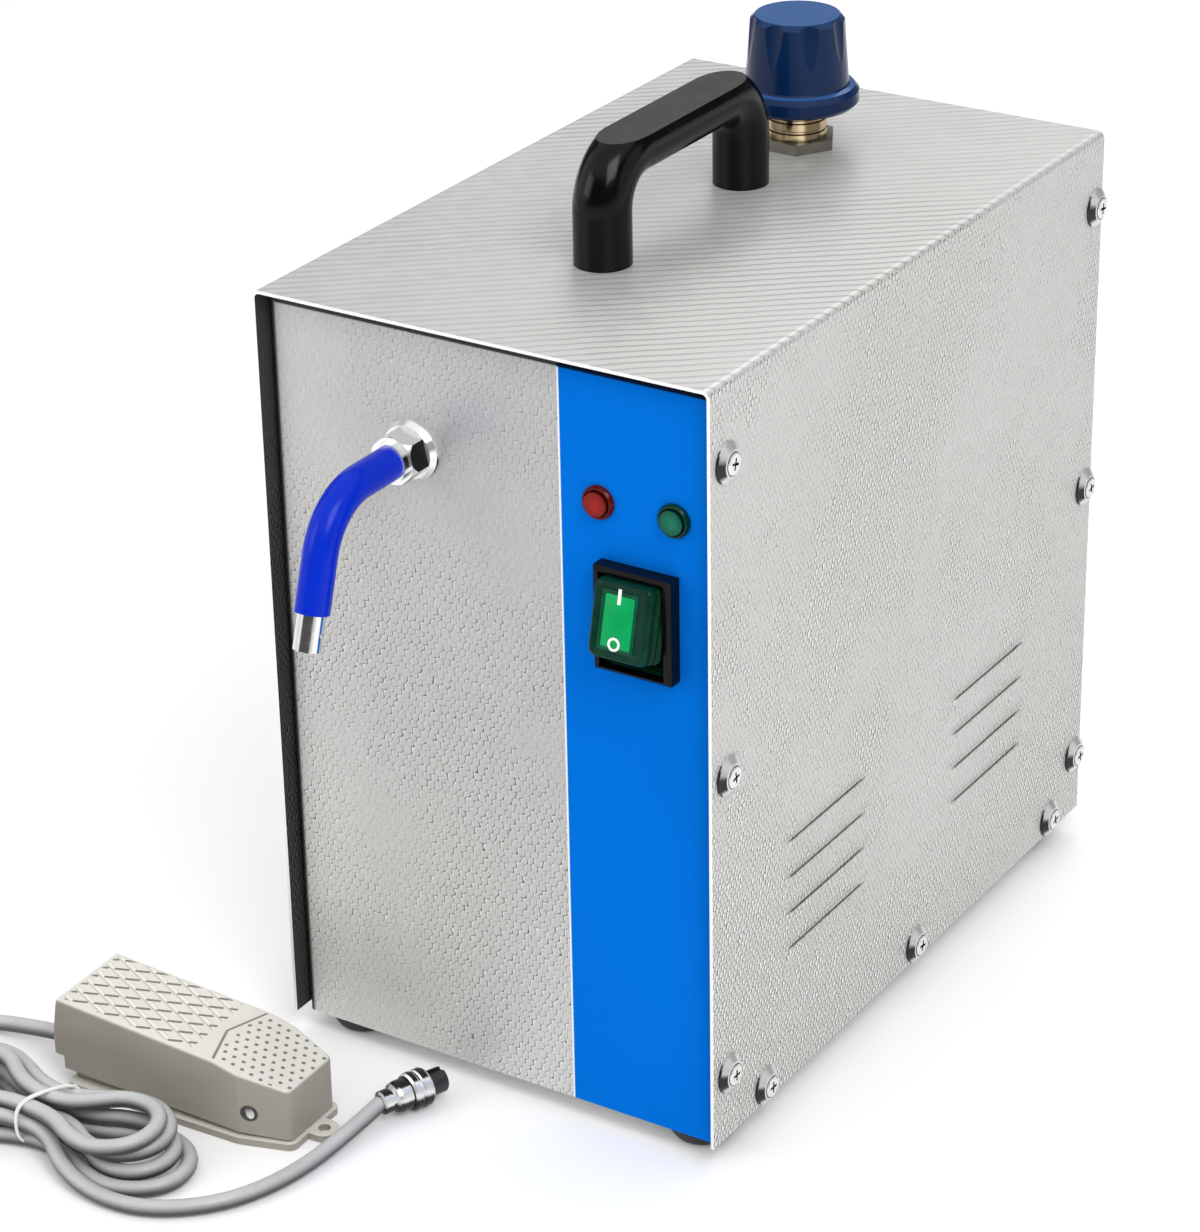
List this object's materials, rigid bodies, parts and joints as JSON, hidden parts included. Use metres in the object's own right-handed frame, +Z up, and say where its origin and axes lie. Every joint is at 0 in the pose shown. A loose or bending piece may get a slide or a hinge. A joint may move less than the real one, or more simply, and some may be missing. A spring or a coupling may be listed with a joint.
{
  "type": "jewelry steam cleaner",
  "caption": "Benchtop boiler steam cleaner in an embossed steel case with carry handle, screw filler cap, bent steam nozzle, lamps, rocker switch and a corded foot pedal.",
  "frame": {"origin": "on the bench top, at the middle of the box round the machine and its pedal, without the cord", "axes": "+X to the machine's right seen from its front, +Y to its back, +Z up; the nozzle and switch face -Y"},
  "size_m": [0.3135, 0.4364, 0.3446],
  "materials": {
    "embossed_steel": "embossed",
    "plain_steel": "satin",
    "film_blue": "satin",
    "foot_rubber": "matt",
    "bright_plate": "polished",
    "handle_black": "gloss",
    "neck_brass": "polished",
    "seal_rubber": "matt",
    "cap_blue": "satin",
    "spring_steel": "bright",
    "sleeve_blue": "gloss",
    "lens_red": "gloss",
    "lens_green": "gloss",
    "black_matt": "matt",
    "black_gloss": "gloss",
    "rocker_green": "gloss",
    "boot_green": "gloss",
    "insulation": "matt",
    "alloy": "satin",
    "coil_red": "satin",
    "terminal_white": "matt",
    "lever_blue": "gloss",
    "pedal_plastic": "satin",
    "button_red": "gloss",
    "cord_grey": "satin",
    "tie_white": "matt"
  },
  "bodies": {
    "machine": {"cover_shell": "embossed_steel", "front_panel": "embossed_steel", "rear_panel": "plain_steel", "base_tray": "plain_steel", "overlay_film": "film_blue", "feet": "foot_rubber", "foot_screws": "plain_steel", "cover_screws": "bright_plate", "cup_washers": "bright_plate", "handle": "handle_black", "handle_screws": "plain_steel", "filler_neck": "neck_brass", "neck_nut": "bright_plate", "neck_gasket": "seal_rubber", "nozzle_flange": "bright_plate", "nozzle_nut": "bright_plate", "nozzle_pipe": "bright_plate", "nozzle_sleeve": "sleeve_blue", "lamp_lens_red": "lens_red", "lamp_lens_green": "lens_green", "lamp_bodies": "black_matt", "switch_housing": "black_gloss", "boiler_tank": "plain_steel", "boiler_jacket": "insulation", "boiler_cradle": "plain_steel", "heater_element": "plain_steel", "thermostat": "alloy", "pressure_switch": "black_matt", "solenoid_body": "neck_brass", "solenoid_coil": "coil_red", "solenoid_spring": "spring_steel", "pipework": "alloy", "terminal_block": "terminal_white", "mains_inlet": "black_matt", "fuse_holder": "black_matt", "pedal_socket": "bright_plate", "drain_valve_body": "neck_brass"},
    "cap_ring": {"cap_seal": "seal_rubber"},
    "cap_carrier": {"relief_spring": "spring_steel"},
    "cap": {"cap_knob": "cap_blue", "cap_insert": "neck_brass"},
    "relief_valve": {"relief_poppet": "neck_brass"},
    "rocker": {"switch_rocker": "rocker_green", "switch_boot": "boot_green"},
    "plunger": {"solenoid_plunger": "plain_steel"},
    "drain_lever": {"drain_valve_lever": "lever_blue"},
    "pedal": {"pedal_base": "pedal_plastic", "pedal_pin": "plain_steel", "pedal_spring": "spring_steel", "pedal_microswitch": "black_matt", "pedal_gland": "cord_grey", "cord_to_hank": "cord_grey", "cord_hank": "cord_grey", "cord_lead": "cord_grey", "hank_tie": "tie_white", "plug_shell": "bright_plate", "plug_insert": "black_matt"},
    "treadle": {"pedal_treadle": "pedal_plastic"},
    "pedal_switch_button": {"pedal_button": "button_red"},
    "plug_collar": {"plug_ring": "bright_plate"}
  },
  "joints": [
    {"name": "cap_lift", "type": "slide", "parent": "machine", "child": "cap_ring", "axis": [0, 0, 1], "range_m": [0, 0.08]},
    {"name": "cap_rise", "type": "slide", "parent": "cap_ring", "child": "cap_carrier", "axis": [0, 0, 1], "range_m": [0, 0.0113]},
    {"name": "cap_turn", "type": "hinge", "parent": "cap_carrier", "child": "cap", "pos_m": [0.0239, 0.1005, 0.3], "axis": [0, 0, 1], "range_deg": [0, 1350]},
    {"name": "relief_lift", "type": "slide", "parent": "cap_carrier", "child": "relief_valve", "axis": [0, 0, 1], "range_m": [0, 0.0015], "stiffness_N_per_m": 800, "springref_m": -0.003, "deforming": ["relief_spring"]},
    {"name": "rocker_tip", "type": "hinge", "parent": "machine", "child": "rocker", "pos_m": [0.08655, -0.108, 0.2054], "axis": [1, 0, 0], "range_deg": [0, 28]},
    {"name": "plunger_lift", "type": "slide", "parent": "machine", "child": "plunger", "axis": [0, 0, 1], "range_m": [0, 0.0025], "stiffness_N_per_m": 200, "springref_m": -0.004, "deforming": ["solenoid_spring"]},
    {"name": "drain_turn", "type": "hinge", "parent": "machine", "child": "drain_lever", "pos_m": [0.0719, 0.1741, 0.057], "axis": [0, 0, 1], "range_deg": [0, 90]},
    {"name": "pedal_place", "type": "slide", "parent": "machine", "child": "pedal", "axis": [0, -1, 0], "range_m": [0, 0.3]},
    {"name": "treadle_press", "type": "hinge", "parent": "pedal", "child": "treadle", "pos_m": [-0.03419, -0.16832, 0.0126], "axis": [0.0349, -0.9994, 0], "range_deg": [0, 2.4], "stiffness_Nm_per_rad": 4, "springref_deg": -5.16, "deforming": ["pedal_spring"]},
    {"name": "button_press", "type": "slide", "parent": "pedal", "child": "pedal_switch_button", "axis": [0, 0, -1], "range_m": [0, 0.002]},
    {"name": "collar_turn", "type": "hinge", "parent": "pedal", "child": "plug_collar", "pos_m": [-0.0023, -0.1505, 0.0072], "axis": [0.3649, 0.9311, 0], "continuous": true}
  ],
  "couplings": [
    {"joint": "cap_rise", "follows": "cap_turn", "m_per_rad": 0.00047746},
    {"joint": "button_press", "follows": "treadle_press", "m_per_rad": 0.047}
  ]
}
